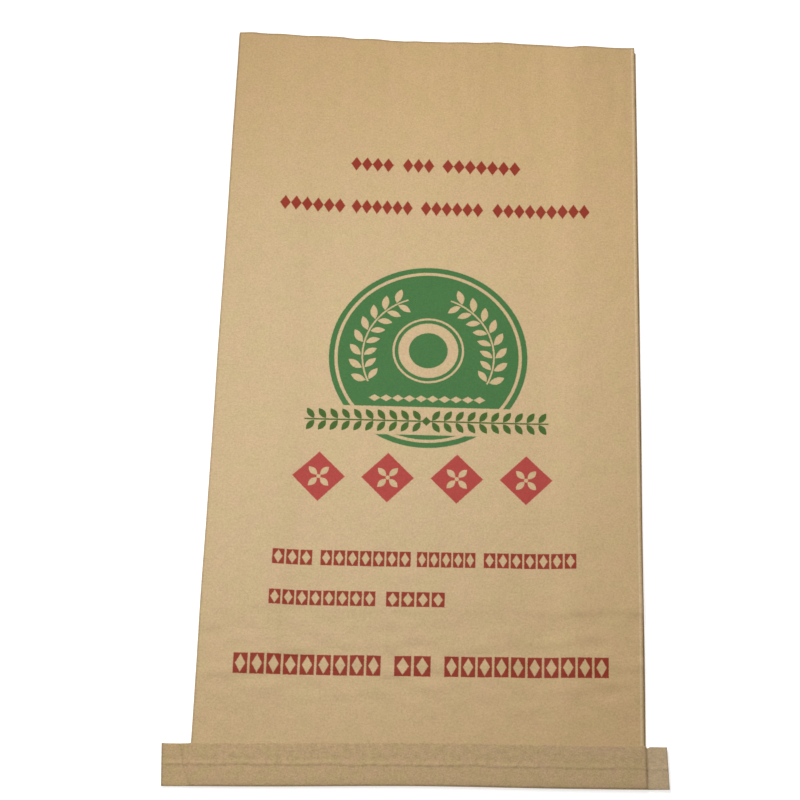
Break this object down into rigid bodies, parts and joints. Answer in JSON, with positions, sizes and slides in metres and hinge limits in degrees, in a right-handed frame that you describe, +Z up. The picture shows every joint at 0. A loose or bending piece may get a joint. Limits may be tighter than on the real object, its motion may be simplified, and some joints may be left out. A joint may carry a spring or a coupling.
{
  "type": "empty kraft paper sack",
  "caption": "Flat, empty gusseted kraft sack for dry food, open at the mouth, its bottom closed by a folded sewn tape that runs past both sides.",
  "frame": {"origin": "on the table, under the middle of the whole outline seen from above", "axes": "+X across the sack to the right of its printed side, +Y from the taped bottom to the mouth, +Z up out of the printed side"},
  "size_m": [0.4472, 0.775, 0.0084],
  "materials": {
    "kraft": "matt brown kraft with a faint woven grid, printed in red and green",
    "tape": "matt, slightly darker kraft tape"
  },
  "bodies": {
    "root": {"sack": "kraft", "bottom_tape": "tape"}
  },
  "joints": []
}
